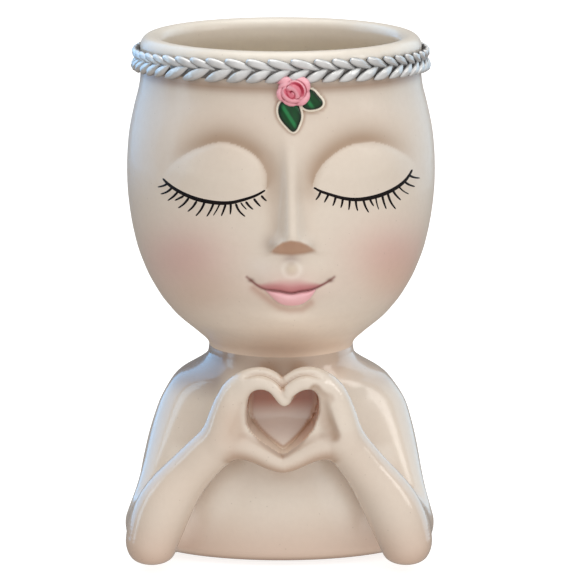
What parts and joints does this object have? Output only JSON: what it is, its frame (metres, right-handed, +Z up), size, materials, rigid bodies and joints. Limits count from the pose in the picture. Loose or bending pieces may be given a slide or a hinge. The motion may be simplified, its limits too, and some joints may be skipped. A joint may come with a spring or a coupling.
{
  "type": "head planter",
  "caption": "Glazed ceramic head planter: egg-shaped pot with a calm eyes-closed face, braid band and rose, on a bust whose hands form a heart, with a drain plug underneath.",
  "frame": {"origin": "centre of the footprint at the bottom of the four rubber pads", "axes": "+Z up through the pot's mouth, the face and hands look along -Y, +X to the viewer's right"},
  "size_m": [0.1227, 0.126, 0.2073],
  "materials": {
    "cream_glaze": "gloss",
    "silver_lustre": "satin",
    "rose_glaze": "satin",
    "leaf_glaze": "gloss",
    "lash_paint": "satin",
    "bisque": "matte",
    "rubber": "matte",
    "pad_rubber": "matte"
  },
  "bodies": {
    "root": {"head_pot": "cream_glaze", "torso_shell": "cream_glaze", "forearm_hand_left": "cream_glaze", "forearm_hand_right": "cream_glaze", "braid_band": "silver_lustre", "rose_petals": "rose_glaze", "rose_bud": "rose_glaze", "leaf_lower": "leaf_glaze", "leaf_side": "leaf_glaze", "base_plate": "bisque", "foot_pad_front_left": "pad_rubber", "foot_pad_front_right": "pad_rubber", "foot_pad_rear_left": "pad_rubber", "foot_pad_rear_right": "pad_rubber"},
    "plug": {"drain_plug": "rubber"}
  },
  "joints": [
    {"name": "plug_pull", "type": "slide", "parent": "root", "child": "plug", "axis": [0, 0, -1], "range_m": [0, 0.02]}
  ]
}
